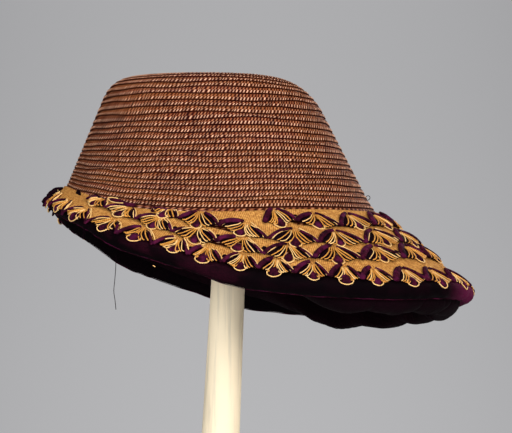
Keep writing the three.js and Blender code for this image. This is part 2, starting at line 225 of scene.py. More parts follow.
class Piece:  # gathers grids and tubes into one mesh with UVs
    tubeTip = 0.4  # how far a tube's end stands out, as a share of its half width

    def __init__(self):
        self.points = []
        self.faces = []
        self.uvs = []
        self.count = 0

    def add(self, points):
        self.points.append(points.reshape(-1, 3))
        self.count += len(self.points[-1])
        return self.count - len(self.points[-1])

    def grid(self, points, uv, loopRows=False, loopColumns=False):
        rows, columns = points.shape[:2]
        first = self.add(points)
        corners, places = gridQuads(rows, columns, loopRows, loopColumns)
        self.faces.append(corners + first)
        self.uvs.append(uv.reshape(-1, 2)[places])
        return first

    def cap(self, ring, centre, uv):  # a fan over a loop of points that the piece has already
        hub = self.add(centre)
        self.faces.append(np.stack([ring, np.roll(ring, -1), np.full(len(ring), hub)], -1))
        self.uvs.append(np.broadcast_to(uv, (len(ring), 3, 2)))

    def sleeve(self, points, uv):  # a grid whose rows loop, with both of its ends capped
        first = self.grid(points, uv, loopRows=True)
        rows, columns = points.shape[:2]
        for column in (0, columns - 1):
            self.cap(first + np.arange(rows) * columns + column, points[:, column].mean(0), (0, 0))

    def tube(self, path, up, wide, tall, sides=6):
        # wide and tall are the half sizes of the section at every point of the path
        way = unit(np.gradient(path, axis=0))
        side = unit(np.cross(up, way))
        lift = np.cross(way, side)
        angle = np.arange(sides) / sides * fullTurn
        wide = np.broadcast_to(wide, len(path))
        tall = np.broadcast_to(tall, len(path))
        rings = (path[:, None] + side[:, None] * (wide[:, None] * np.cos(angle))[..., None]
                 + lift[:, None] * (tall[:, None] * np.sin(angle))[..., None])
        u, v = np.meshgrid(lengthAlong(path), np.arange(sides + 1) / sides, indexing="ij")
        first = self.grid(rings, np.stack([u, v], -1), loopColumns=True)
        last = first + (len(path) - 1) * sides
        self.cap(first + np.arange(sides), path[0] - way[0] * wide[0] * self.tubeTip, (0, 0.5))
        self.cap(last + np.arange(sides), path[-1] + way[-1] * wide[-1] * self.tubeTip, (u[-1, 0], 0.5))

    def build(self, name, material, slot, nodes):
        mesh = bpy.data.meshes.new(name)
        faces = [face for part in self.faces for face in part.tolist()]
        mesh.from_pydata(np.concatenate(self.points) * mm, [], faces)
        uvs = np.concatenate([uv.reshape(-1) for uv in self.uvs]).astype(np.float32)
        mesh.uv_layers.new(name="surface").data.foreach_set("uv", uvs)
        mesh.polygons.foreach_set("use_smooth", np.ones(len(mesh.polygons), bool))
        shell = bmesh.new()
        shell.from_mesh(mesh)
        bmesh.ops.recalc_face_normals(shell, faces=shell.faces)
        shell.to_mesh(mesh)
        shell.free()
        mesh.materials.append(material)
        piece = placeInScene(name, mesh)
        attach(piece, "root")
        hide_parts(*nodes)


def cells(columns, rows):  # UVs that only count, for pieces whose finish doesn't need them in millimetres
    return np.stack(np.meshgrid(np.arange(columns), np.arange(rows)), -1).astype(float)


def smoothCurve(points, count):  # a curve through every point, evenly spaced
    points = np.asarray(points, float)
    padded = np.vstack([2 * points[0] - points[1], points, 2 * points[-1] - points[-2]])
    t = np.linspace(0, len(points) - 1, 8 * len(points))
    i = np.minimum(t.astype(int), len(points) - 2)
    f = (t - i)[:, None]
    before, here, there, after = (padded[i + k] for k in range(4))
    dense = 0.5 * (2 * here + (there - before) * f + (2 * before - 5 * here + 4 * there - after) * f**2
                   + (3 * here - before - 3 * there + after) * f**3)
    reached = lengthAlong(dense)
    wanted = np.linspace(0, reached[-1], count)
    return np.stack([np.interp(wanted, reached, dense[:, k]) for k in range(points.shape[1])], -1)


def bend(start, pull, end, count):
    t = np.linspace(0, 1, count)[:, None]
    return np.asarray(start) * (1 - t) ** 2 + 2 * np.asarray(pull) * t * (1 - t) + np.asarray(end) * t**2


# Materials: each finish is made of nodes, and what several of them use is a group
def shaderGroup(name, inputs, outputs):
    group = bpy.data.node_groups.new(name, "ShaderNodeTree")
    for label, kind, value in inputs:
        socket = group.interface.new_socket(name=label, in_out="INPUT", socket_type="NodeSocket" + kind)
        if value is not None:
            socket.default_value = value
    for label in outputs:
        group.interface.new_socket(name=label, in_out="OUTPUT", socket_type="NodeSocketFloat")
    given = group.nodes.new("NodeGroupInput").outputs
    return group, Wiring(group), given, group.nodes.new("NodeGroupOutput").inputs


class Wiring:  # short words for adding nodes to a tree
    def __init__(self, tree):
        self.tree = tree

    def node(self, kind, **settings):
        made = self.tree.nodes.new("ShaderNode" + kind)
        for name, value in settings.items():
            setattr(made, name, value)
        return made

    def put(self, value, socket):
        if isinstance(value, bpy.types.NodeSocket):
            self.tree.links.new(value, socket)
        else:
            socket.default_value = value

    def fill(self, made, *values):
        for value, socket in zip(values, made.inputs):
            self.put(value, socket)
        return made.outputs[0]

    def maths(self, operation, *values):
        return self.fill(self.node("Math", operation=operation), *values)

    def times(self, first, second):
        return self.maths("MULTIPLY", first, second)

    def larger(self, first, second):
        return self.maths("MAXIMUM", first, second)

    def cosine(self, value, rate=fullTurn):
        return self.maths("COSINE", self.times(value, rate))

    def wave(self, turns):  # 1 at every whole turn, 0 halfway between
        return self.maths("MULTIPLY_ADD", self.cosine(turns), 0.5, 0.5)

    def spread(self, value, low, high, toLow=0.0, toHigh=1.0):
        made = self.node("MapRange", interpolation_type="SMOOTHSTEP")
        return self.fill(made, value, low, high, toLow, toHigh)

    def blend(self, share, first, second):
        made = self.node("Mix", data_type="RGBA")
        self.put(share, made.inputs[0])
        self.put(first, made.inputs[6])
        self.put(second, made.inputs[7])
        return made.outputs[2]

    def noise(self, scale, detail, vector, roughness=0.5):
        made = self.node("TexNoise")
        settings = {"Scale": scale, "Detail": detail, "Roughness": roughness, "Vector": vector}
        for label, value in settings.items():
            self.put(value, made.inputs[label])
        return made.outputs["Fac"]

    def parts(self, vector):  # its x, y and z
        made = self.node("SeparateXYZ")
        self.put(vector, made.inputs[0])
        return list(made.outputs)

    def scaled(self, vector, scale):
        made = self.node("Mapping")
        self.put(vector, made.inputs[0])
        made.inputs["Scale"].default_value = scale
        return made.outputs[0]

    def uv(self):
        return self.node("UVMap", uv_map="surface").outputs[0]

    def where(self):
        return self.node("TexCoord").outputs["Object"]

    def group(self, tree, output, **values):
        made = self.node("Group", node_tree=tree)
        for name, value in values.items():
            self.put(value, made.inputs[name])
        return made.outputs[output]

    def tone(self, strand, row):
        return self.group(strandTone, "Tone", Strand=strand, Row=row)

    def drift(self, finish):
        return self.times(self.group(dyeDrift, "Drift", Size=finish["driftSize"]), finish["driftShare"])


def newMaterial(name):
    material = bpy.data.materials.new(name)
    material.use_nodes = True
    return material, Wiring(material.node_tree), material.node_tree.nodes["Principled BSDF"].inputs


def dress(wiring, surface, finish, colour, height, roughness=None):
    wiring.put(colour, surface["Base Color"])
    wiring.put(finish["roughness"] if roughness is None else roughness, surface["Roughness"])
    surface["Specular IOR Level"].default_value = finish["gloss"]
    bump = wiring.node("Bump")
    bump.inputs["Strength"].default_value = finish["bump"]
    bump.inputs["Distance"].default_value = finish["bumpDepth"]
    wiring.put(height, bump.inputs["Height"])
    wiring.put(bump.outputs[0], surface["Normal"])


def linear(red, green, blue):  # a colour as a painter's program shows it, 0 to 255
    def one(value):
        share = value / 255
        return share / 12.92 if share <= 0.04045 else ((share + 0.055) / 1.055) ** 2.4
    return one(red), one(green), one(blue), 1


# Strand tone: every strand of a plait or weave gets a tone of its own
def strandToneGroup():
    inputs = [("Strand", "Float", 0.0), ("Row", "Float", 0.0)]
    group, wiring, given, out = shaderGroup("strandTone", inputs, ["Tone"])
    pair = wiring.node("CombineXYZ")
    wiring.put(wiring.maths("FLOOR", given["Strand"]), pair.inputs[0])
    wiring.put(wiring.maths("FLOOR", given["Row"]), pair.inputs[1])
    chance = wiring.node("TexWhiteNoise", noise_dimensions="2D")
    wiring.put(pair.outputs[0], chance.inputs["Vector"])
    wiring.put(chance.outputs["Value"], out["Tone"])
    return group


# Soft wear and dye changes over the whole object, in metres
def driftGroup():
    group, wiring, given, out = shaderGroup("dyeDrift", [("Size", "Float", 30.0)], ["Drift"])
    wiring.put(wiring.spread(wiring.noise(given["Size"], 3.0, wiring.where()), 0.3, 0.7), out["Drift"])
    return group


strandTone = strandToneGroup()
dyeDrift = driftGroup()

strawFinish = {
    "dark": linear(50, 3, 0), "middle": linear(101, 37, 15), "gold": linear(122, 63, 24),
    # the bead colour is a painted highlight on each bead, and the gap colour the painted shade in the furrows
    # and at the row ends
    "rose": linear(104, 45, 35), "stroke": linear(160, 106, 74), "bead": linear(206, 162, 134),
    "gap": linear(22, 0, 0),
    # how far long stretches of a row turn gold or rose, and how far the whole bonnet drifts to gold
    "goldShare": 0.6, "roseShare": 0.5, "stretch": 0.05, "driftShare": 0.35, "driftSize": 28.0,
    # where the beads' painted highlights, the strokes and the painted shade at the row ends lie, as shares of
    # a row's width
    "beadBand": ((0.5, 0.58), (0.94, 0.84)), "strokeBand": ((0.06, 0.16), (0.52, 0.44)),
    "rowEndShade": ((0.86, 0.94), (0.13, 0.04)),
    # how strong the faintest bead highlights, the faintest strokes, the painted shade in the furrows and the
    # painted shade at the row ends are
    "beadLeast": 0.4, "strokeLeast": 0.35, "furrowShade": 0.96, "rowEndShadeStrength": (0.95, 0.75),
    "fibre": (6, 30, 1), "roughness": 0.6, "gloss": 0.05, "bump": 0.5, "bumpDepth": 0.0003,
}


def strawMaterial(finish):
    material, wiring, surface = newMaterial("straw")
    uv = wiring.uv()
    grain, across = wiring.parts(uv)[:2]
    inRow = wiring.maths("FRACT", across)
    tone = wiring.tone(wiring.maths("ADD", grain, 0.5), across)
    otherTone = wiring.tone(grain, wiring.maths("ADD", across, 100.0))
    stretch = wiring.tone(wiring.times(grain, finish["stretch"]), across)
    golden = wiring.times(wiring.spread(stretch, 0.55, 1.0), finish["goldShare"])
    rosy = wiring.times(wiring.spread(stretch, 0.3, 0.0), finish["roseShare"])
    body = wiring.blend(tone, finish["dark"], finish["middle"])
    body = wiring.blend(golden, body, finish["gold"])
    body = wiring.blend(rosy, body, finish["rose"])
    body = wiring.blend(wiring.drift(finish), body, finish["gold"])
    crest = wiring.wave(grain)
    low, high = (wiring.times(wiring.spread(inRow, *finish[band][0]), wiring.spread(inRow, *finish[band][1]))
                 for band in ("beadBand", "strokeBand"))
    # painted highlight on the crest of each bead
    bead = wiring.times(wiring.spread(crest, 0.5, 1.0), low)
    stroke = wiring.times(wiring.spread(crest, 0.5, 0.0), high)
    bead = wiring.times(bead, wiring.spread(tone, 0.0, 1.0, finish["beadLeast"], 1.0))
    stroke = wiring.times(stroke, wiring.spread(otherTone, 0.0, 1.0, finish["strokeLeast"], 1.0))
    body = wiring.blend(bead, body, finish["bead"])
    body = wiring.blend(stroke, body, finish["stroke"])
    # painted shade in the furrows between the beads and strokes, and at the row ends
    furrowShade = wiring.times(wiring.spread(crest, 0.55, 0.1), low)
    between = wiring.times(wiring.spread(crest, 0.5, 0.95), high)
    furrowShade = wiring.times(wiring.larger(furrowShade, between), finish["furrowShade"])
    rowEndShade = wiring.larger(*(wiring.spread(inRow, *edge) for edge in finish["rowEndShade"]))
    rowEndShade = wiring.times(rowEndShade, wiring.spread(crest, 0.0, 1.0, *finish["rowEndShadeStrength"]))
    body = wiring.blend(wiring.larger(rowEndShade, furrowShade), body, finish["gap"])
    dress(wiring, surface, finish, body, wiring.noise(1.0, 2.0, wiring.scaled(uv, finish["fibre"])))
    return material


# The straw plait: rows sewn one over the next, each tucked under the row above
plait = {
    "tipRows": 13, "sideRows": 22, "brimRows": 11, "edgeBack": 2.5,
    # a grain's length, how uneven the grains are, how far they lean, and how far they stand out
    "grain": 2.35, "fewestGrains": 8, "uneven": 0.08, "shakes": 6, "columnsPerGrain": 4,
    "lean": -1.4, "leanFrom": 0.8, "bead": 0.5, "beadLevel": 0.4, "headFrom": 0.7, "headDrop": 0.5,
    # how far and in how many waves the rows wander, and the width from which a row wanders in full
    "wander": 1.0, "waves": 17, "fullRow": 4,
    # how far the side's rows are pushed down halfway, and how late they close up before the crease
    "crowding": 0.027, "closing": 2.4,
    # where each point of the section lies, as a share of the row's width, and how far it stands out
    "section": ((-0.2, -0.4), (0.04, 0.05), (0.26, 0.35), (0.5, 0.55), (0.74, 0.65), (0.93, 0.5),
                (0.98, 0.0), (0.85, -0.8), (0.0, -1.2)),
    "beading": (0, 0.1, 0.45, 0.9, 1, 0.8, 0.3, 0, 0),
    # what closes the slit in the middle of the tip: its share of the first row, and how far it stands up
    "tipFill": (0.6, 0.7),
}
strawMap = strawMaterial(strawFinish)
dense = np.arange(1440) / 1440 * fullTurn


def wanderLine():  # a slow wave that closes on itself
    line = np.zeros(len(dense))
    for wave in range(2, plait["waves"]):
        line += random.normal() / wave * np.sin(wave * dense + random.uniform(0, fullTurn))
    return line * plait["wander"]


def plaitRows(name, node, borders, firstRow, grain, columnsPerGrain, beading=1.0, closeStart=False):
    # borders holds, for every row edge, the distance from the tip's seam at each of the dense turns
    piece = Piece()
    section = np.array(plait["section"])
    bulges = np.array(plait["beading"]) * plait["bead"] * beading
    for row in range(len(borders) - 1):
        line = straw.at(dense, (borders[row] + borders[row + 1]) / 2)
        reached = lengthAlong(np.append(line, line[:1], 0))
        grains = max(plait["fewestGrains"], round(reached[-1] / grain))
        count = grains * columnsPerGrain
        start = random.uniform(0, 1)
        phase = np.arange(count) / columnsPerGrain
        crest = 0.5 + 0.5 * np.cos(phase * fullTurn)
        shake = np.zeros(count)  # the grains are unevenly long
        for wave in random.integers(grains // 9, grains // 3, plait["shakes"]):
            shake += plait["uneven"] * np.sin(wave * phase / grains * fullTurn + random.uniform(0, fullTurn))
        spots = []
        for (share, out), bulge in zip(section, bulges):
            leaned = (phase + shake + start + plait["lean"] * (share - plait["leanFrom"])) / grains % 1
            turn = np.interp(leaned * reached[-1], reached, np.append(dense, fullTurn))
            top = np.interp(turn, dense, borders[row], period=fullTurn)
            bottom = np.interp(turn, dense, borders[row + 1], period=fullTurn)
            head = bulge * plait["headDrop"] * crest * (share > plait["headFrom"])
            along = top + (bottom - top) * share + head
            spots.append(straw.at(turn, along, out + bulge * (crest - plait["beadLevel"])))
        shares = section[:, 0]
        if closeStart and row == 0:
            fillShare, fillUp = plait["tipFill"]
            slit = spots[0].copy()
            slit[:, 1] = 0
            spots.insert(0, slit + (0, 0, fillUp))
            shares = np.append(fillShare, shares)
        across = firstRow + row + np.clip(shares, 0.005, 0.995)
        u, v = np.meshgrid(np.arange(count + 1) / columnsPerGrain, np.append(across, across[0]))
        piece.grid(np.stack(spots), np.stack([u, v], -1), loopRows=True, loopColumns=True)
    piece.build(name, strawMap, "straw", [node])


def rowEdges(start, end, count, crowding=0.0, levelLength=None):
    edges = []
    length = end - start

    def reachedAt(row):
        share = row / count
        share += crowding * math.sin(math.pi * share) ** 2
        if not levelLength:
            return length * share
        # the rows keep level, and close up only near the end
        return levelLength * share + (length - levelLength) * share ** plait["closing"]

    for row in range(count + 1):
        wave = wanderLine()
        if 0 < row < count:  # narrow rows wander less, the first and last edge not at all
            wave *= np.clip((reachedAt(row + 0.5) - reachedAt(row - 0.5)) / plait["fullRow"], 0, 1)
        else:
            wave *= 0
        edges.append(start + reachedAt(row) + wave)
    return edges


shoulderAt = straw.shoulder(dense)
creaseAt = straw.crease(dense)
tipEdges = rowEdges(0 * shoulderAt, shoulderAt, plait["tipRows"])
sideLength = (creaseAt - shoulderAt)[len(dense) // 4]
sideEdges = rowEdges(shoulderAt, creaseAt, plait["sideRows"], plait["crowding"], sideLength)
brimEdges = rowEdges(creaseAt, straw.edge(dense) - plait["edgeBack"], plait["brimRows"])
halfway = plait["sideRows"] // 2
fineGrain = (plait["grain"], plait["columnsPerGrain"])
# the rows of each run are numbered apart, so that no two rows get the same tones
plaitRows("straw_tip", "crown_plait", tipEdges, 0, *fineGrain, closeStart=True)
plaitRows("straw_side_upper", "crown_plait", sideEdges[:halfway + 1], 20, *fineGrain)
plaitRows("straw_side_lower", "crown_plait", sideEdges[halfway:], 20 + halfway, *fineGrain)
plaitRows("straw_brim", "brim_plait", brimEdges, 50, 2 * plait["grain"], 1, beading=0)
print("straw plaited")


# Canvas weave, in millimetres of cloth: two sets of threads over and under each other
def canvasGroup():
    inputs = [("Cloth", "Vector", None), ("Threads", "Float", 1.0)]
    group, wiring, given, out = shaderGroup("canvasWeave", inputs, ["Height", "GapShade", "Tone"])
    scaled = wiring.node("VectorMath", operation="SCALE")
    wiring.put(given["Cloth"], scaled.inputs[0])
    wiring.put(given["Threads"], scaled.inputs["Scale"])
    warp, weft = wiring.parts(scaled.outputs[0])[:2]
    crests = wiring.maths("ADD", wiring.cosine(warp), wiring.cosine(weft))
    over = wiring.times(wiring.cosine(warp, math.pi), wiring.cosine(weft, math.pi))
    height = wiring.maths("MULTIPLY_ADD", crests, 0.2, 0.5)
    wiring.put(wiring.maths("MULTIPLY_ADD", over, 0.2, height), out["Height"])
    # painted shade in the gaps between the threads
    wiring.put(wiring.spread(crests, -0.3, -1.5), out["GapShade"])
    wiring.put(wiring.tone(warp, weft), out["Tone"])
    return group


# Twisted cord: strands wind round it, u runs along it in millimetres and v round it
def twistGroup():
    inputs = [("Cord", "Vector", None), ("Turns", "Float", 0.8)]
    group, wiring, given, out = shaderGroup("cordTwist", inputs, ["Height"])
    along, around = wiring.parts(given["Cord"])[:2]
    wound = wiring.maths("ADD", wiring.times(along, given["Turns"]), wiring.times(around, 2.0))
    wiring.put(wiring.wave(wound), out["Height"])
    return group


canvasWeave = canvasGroup()
cordTwist = twistGroup()
canvasFinish = {
    # the gap colour is painted shade between the threads
    "low": linear(152, 100, 46), "high": linear(208, 152, 80), "gap": linear(70, 34, 10), "gapShadeShare": 0.9,
    "threads": 0.72, "driftSize": 60.0, "driftShare": 0.4,
    "roughness": 0.85, "gloss": 0.08, "bump": 0.6, "bumpDepth": 0.0004,
}
cordFinish = {
    # each cord is painted darker in the grooves of its twist and lighter on its crests: painted shade and
    # painted highlight
    "gold": (linear(150, 88, 26), linear(226, 164, 76)),
    "pale": (linear(206, 154, 86), linear(244, 206, 142)),
    "turns": 0.75, "driftSize": 160.0, "driftShare": 0.5,
    "roughness": 0.5, "gloss": 0.15, "bump": 0.5, "bumpDepth": 0.0003,
}


def canvasMaterial(finish):
    material, wiring, surface = newMaterial("braid_canvas")
    weave = wiring.node("Group", node_tree=canvasWeave)
    wiring.put(wiring.uv(), weave.inputs["Cloth"])
    weave.inputs["Threads"].default_value = finish["threads"]
    colour = wiring.blend(weave.outputs["Tone"], finish["low"], finish["high"])
    colour = wiring.blend(wiring.drift(finish), colour, finish["low"])
    # painted shade in the gaps between the threads
    colour = wiring.blend(wiring.times(weave.outputs["GapShade"], finish["gapShadeShare"]), colour, finish["gap"])
    dress(wiring, surface, finish, colour, weave.outputs["Height"])
    return material


def cordMaterial(kind, finish):
    material, wiring, surface = newMaterial(kind + "_cord")
    low, high = finish[kind]
    twist = wiring.group(cordTwist, "Height", Cord=wiring.uv(), Turns=finish["turns"])
    # painted shade in the twist's grooves, painted highlight on its crests
    colour = wiring.blend(wiring.spread(twist, 0.0, 0.7), low, high)
    colour = wiring.blend(wiring.drift(finish), colour, low)
    dress(wiring, surface, finish, colour, twist)
    return material


velvetFinish = {
    # each velvet has its deep colour, in the pile, and its plum, where the pile catches the light; the
    # near-black one is painted shade under the fans' cords and in the holes, and the knots' and threads' own
    # dark colour
    "loop": (linear(12, 1, 6), linear(76, 15, 40)), "darkAndShade": (linear(3, 0, 2), linear(22, 3, 15)),
    # the lining's plum is darker than the edge roll's: painted shade under the brim
    "edge": (linear(3, 0, 2), linear(46, 8, 24)), "lining": (linear(2, 0, 1), linear(20, 3, 11)),
    "pile": 2600.0, "driftSize": 45.0, "driftShare": 0.5, "sheen": 0.05, "sheenRoughness": 0.3,
    "roughness": 0.95, "gloss": 0.04, "bump": 0.5, "bumpDepth": 0.0004,
}
# the loops' colour shifts more: random darker patches of painted shade, and violet patches that are partly
# the loops' own hue and partly a painted highlight
loopFinish = {"shadePatch": linear(26, 2, 14), "violet": linear(92, 24, 64), "violetShare": 0.35, "roughness": 0.8}
# the edge roll's plum is painted light: it is plum only where it faces up and out, given in rows of its
# section; it has a painted lit tip at the front, and beside it a stretch of painted shade, given in degrees
# from the front
edgeFinish = {
    "litRows": (10.0, 6.0), "unlit": 0.06, "patchSize": 60.0, "patches": (0.42, 0.64, 0.1, 0.85),
    "shadedStretch": ((20.0, 34.0), (100.0, 88.0)), "shadedStretchShare": 0.8,
    "tip": linear(88, 20, 56), "tipEnd": (34.0, 16.0),
}


def loopColour(wiring, finish, where, colour):
    # painted shade in random darker patches
    shadePatch = wiring.spread(wiring.noise(420.0, 2.0, where), 0.4, 0.62)
    violet = wiring.spread(wiring.noise(150.0, 1.0, where), 0.46, 0.64)
    shadePatched = wiring.blend(shadePatch, colour, finish["shadePatch"])
    return wiring.blend(wiring.times(violet, finish["violetShare"]), shadePatched, finish["violet"])


def edgeColour(wiring, finish, where, pile, deep, colour):
    away, row = wiring.parts(wiring.uv())[:2]
    patches = wiring.spread(wiring.noise(finish["patchSize"], 3.0, where), *finish["patches"])
    # painted light on the rows that face up and out
    lit = wiring.times(wiring.spread(row, *finish["litRows"], finish["unlit"], 1.0), patches)
    # painted shade on a stretch beside the front
    shadedStretch = wiring.times(*(wiring.spread(away, *side) for side in finish["shadedStretch"]))
    lit = wiring.times(lit, wiring.maths("SUBTRACT", 1.0, wiring.times(shadedStretch, finish["shadedStretchShare"])))
    # a painted lit tip at the front
    tip = wiring.times(wiring.spread(away, *finish["tipEnd"]), wiring.spread(pile, 0.2, 0.6, 0.4, 1.0))
    return wiring.blend(tip, wiring.blend(lit, deep, colour), finish["tip"])


def velvetMaterial(kind, finish):
    material, wiring, surface = newMaterial(kind + "_velvet")
    deep, plum = finish[kind]
    where = wiring.where()
    pile = wiring.noise(finish["pile"], 2.0, where)
    colour = wiring.blend(wiring.spread(pile, 0.3, 0.65), deep, plum)
    colour = wiring.blend(wiring.drift(finish), colour, deep)
    roughness = finish["roughness"]
    if kind == "edge":
        colour = edgeColour(wiring, edgeFinish, where, pile, deep, colour)
    if kind == "loop":
        colour = loopColour(wiring, loopFinish, where, colour)
        roughness = loopFinish["roughness"]
    dress(wiring, surface, finish, colour, pile, roughness)
    surface["Sheen Weight"].default_value = finish["sheen"]
    surface["Sheen Roughness"].default_value = finish["sheenRoughness"]
    surface["Sheen Tint"].default_value = plum
    return material


canvasMap = canvasMaterial(canvasFinish)
goldMap, paleMap = (cordMaterial(kind, cordFinish) for kind in ("gold", "pale"))
loopVelvet, darkAndShadeVelvet, edgeVelvet, liningVelvet = (
    velvetMaterial(kind, velvetFinish) for kind in ("loop", "darkAndShade", "edge", "lining"))

# The tiers of trim, from the brim's edge up, in millimetres. Each is a band of canvas cut in scallops, with
# an apex over every motif and a V between two motifs
trim = {
    # how far in from the edge the bottoms of the Vs lie, at the back and at the front, and from tier to tier
    "valleyBack": 7.4, "valleyFront": 12, "valleyPower": 1.5, "pitch": 16.3,
    # the lowest tier's own line, every 30 degrees from the front
    "lowestLine": (0.8, 2.4, 5.6, 10.8, 5.0, -0.6, 1.2),
    # a canvas tucks under the next one, and where that has ended it runs up over the crown's crease by the
    # crown line, every 30 degrees from the front
    "tuck": 3, "bareBefore": 12, "bareOver": 8, "crownLine": (-5.5, -4.5, -3.5, -4, -5, 0.5, 0.5),
    # how high the apex lies over the Vs, how the tiers stand off the straw, and how they bend over the edge
    "rise": 13.6, "floor": 1.1, "midHeight": 5.0, "rollOver": 6.5,
    # how uneven the motifs are, and from which degrees, and over how many, they are less even and lighter
    "farWander": 1.5, "wobble": 0.8, "uneven": (95, 30), "lighter": (45, 40), "endMotif": 18,
    # the canvas: how high it lies, how thick it is, how its scallops are cut and how it folds at every apex
    "sheet": 0.7, "canvas": 0.7, "canvasRows": 12, "endRoom": 4, "endGap": 16,
    "scallop": (1.4, 9.4, 0.28), "folds": 8, "foldSize": 0.45, "foldReach": 3.5,
    # drops are the hanging loops, in degrees round from the front: the near side has the photographed ones,
    # and the far side its own near copies; lifts are where a tier rises, how far and how wide
    "tiers": (
        {"name": "lowest", "endDeg": 180, "nextEndDeg": 150, "dropSize": 1.2, "stand": 1.7, "step": 0.2,
         "lifts": (),
         "drops": (0, 19, 34, 46.5, 58.5, 67.5, 76, 84.9, 91, 99.4, 107.4, 119.2, 130.5, 144, 156, 168)},
        {"name": "second", "endDeg": 150, "nextEndDeg": 116, "dropSize": 1, "stand": 1.4, "step": 3.3,
         "lifts": ((-94.5, 4.6, 5),),
         "drops": (0, 15, 31, 48.5, 64.8, 78.8, 89.8, 100.5, 112.8, 125.2, 138)},
        {"name": "third", "endDeg": 116, "nextEndDeg": 80, "dropSize": 1, "stand": 1.4, "step": 3.3,
         "lifts": ((-92, 5.2, 6),),
         "drops": (0, 20.8, 39.5, 58.5, 73, 86.8, 98.2, 108.5)},
        {"name": "top", "endDeg": 80, "nextEndDeg": 0, "dropSize": 1, "stand": 1.4, "step": 3.3,
         "lifts": ((-69, 4.2, 6), (0, 2.6, 90)),
         "drops": (8.5, 25.5, 43.2, 59.8, 73)},
    ),
}
cord = {"gold": 0.41, "pale": 0.35, "sides": 6, "steps": 10, "height": 1.2, "swell": 0.8}
# the velvet arms: the one towards the back is broad and bowed, the other thin and straight
strip = {
    "wide": 1.75, "tall": 1.0, "height": 1.5, "arch": 0.5, "hang": 4.5, "sides": 8, "steps": 11,
    "broad": {"width": (1.0, 1.5), "bow": (0.72, 0.26)}, "thin": {"width": (0.6, 1.0), "bow": (0.55, 0.36)},
}
# a fan of cords, shaped like a leaf: its first cord, and from there to the last, as shares of the motif
fan = {
    "cords": 4, "oneMore": 0.3, "narrow": 7, "paleShare": 0.3, "gap": 0.36, "uneven": 0.12,
    "loose": (0.3, 0.5),
    "first": ((0.24, 0.12), (0.52, 0.38), (0.72, 0.68), (0.85, 0.94)),
    "toLast": ((-0.2, 0.1), (-0.43, 0.3), (-0.49, 0.42), (-0.44, 0.22)),
}
hole = {
    "share": 0.4, "up": 6.2, "half": 2, "lean": 0.4, "height": 0.75, "wide": (0.7, 1.5, 1.9, 1.9, 1.5, 0.6),
}
drop = {
    "wide": 2.8, "long": 3.9, "tall": 1.3, "depth": 13.6, "hang": 0.9, "height": 0.8, "lean": 0.6,
    "uneven": 0.12, "loop": 3.6, "reach": 18.6, "bulge": (0.8, 0.98, 0.75),
}


class Tier:
    def __init__(self, number, settings):
        self.number = number
        self.settings = settings
        end = math.radians(settings["endDeg"])
        self.closed = settings["endDeg"] == 180
        self.turns = np.linspace(-end, end, 1441)
        middle = straw.edge(self.turns) - self.valley(self.turns) - trim["rise"] / 2
        line = straw.at(self.turns, middle, trim["midHeight"])
        self.reached = lengthAlong(line)
        # the sections cross the line at a slant, so a motif is leaned back to stand square to it
        along = unit(np.gradient(line, axis=0))
        above, below = (straw.at(self.turns, middle + side, trim["midHeight"]) for side in (-1, 1))
        self.slant = (along * (above - below)).sum(1) / 2
        self.raised = trim["floor"] + settings["stand"]
        isTop = number == len(trim["tiers"]) - 1
        nearSide = [-deg for deg in settings["drops"]]
        farSide = [deg + random.normal() * trim["farWander"] for deg in settings["drops"] if deg > 5 or isTop]
        self.drops = np.interp(np.radians(sorted(nearSide + farSide)), self.turns, self.reached)

    def posts(self, room):  # the drops, with the one beyond each end, or a plain room where the tier is open
        first, last = self.drops[0], self.drops[-1]
        if self.closed:
            before, after = last - self.reached[-1], first + self.reached[-1]
        else:
            before, after = first - room, last + room
        return np.concatenate([[before], self.drops, [after]])

    def evenValley(self, turn, number):
        frontness = (0.5 + np.cos(turn) / 2) ** trim["valleyPower"]
        low, high = trim["valleyBack"], trim["valleyFront"]
        return low + (high - low) * frontness + number * trim["pitch"]

    def valley(self, turn):  # how far in from the edge the bottoms of the Vs lie
        if self.number == 0:
            line = smoothLine(trim["lowestLine"], turn)
        else:
            line = self.evenValley(turn, self.number)
        for where, lift, width in self.settings["lifts"]:
            line = line + lift * hump(np.degrees(turn), where, width)
        return line

    def top(self, turn):
        crown = straw.edge(turn) - straw.crease(turn) + smoothLine(trim["crownLine"], turn)
        past = fromFront(turn) - self.settings["nextEndDeg"] + trim["bareBefore"]
        bare = np.clip(past / trim["bareOver"], 0, 1)
        covered = np.minimum(self.evenValley(turn, self.number + 1) + trim["tuck"], crown)
        return covered + (crown - covered) * bare

    def turnAt(self, place, rise):
        place = np.asarray(place, float)
        wrapped = place % self.reached[-1] if self.closed else place
        place = place - np.interp(wrapped, self.reached, self.slant) * (rise - trim["rise"] / 2)
        if self.closed:
            place = place % self.reached[-1]
        return np.interp(place, self.reached, self.turns)

    def at(self, place, rise, height):  # place runs along the tier, rise up from the bottoms of the Vs
        turn = self.turnAt(place, rise)
        valley = self.valley(turn)
        top = self.top(turn)
        inward = np.minimum(valley + rise, top)
        share = np.clip((top - inward) / (top - valley - self.settings["step"]), 0, 1)
        under = trim["floor"] + (self.raised - trim["floor"]) * share
        # beyond the edge the trim bends down over the roll
        bent = np.clip(-inward / trim["rollOver"], 0, 1.5)
        inward = np.where(inward < 0, -trim["rollOver"] * np.sin(bent), inward)
        out = under + height - trim["rollOver"] * (1 - np.cos(bent))
        return straw.at(turn, straw.edge(turn) - inward, out)


def jitter(size, *shape):
    return random.uniform(-size, size, shape or None)


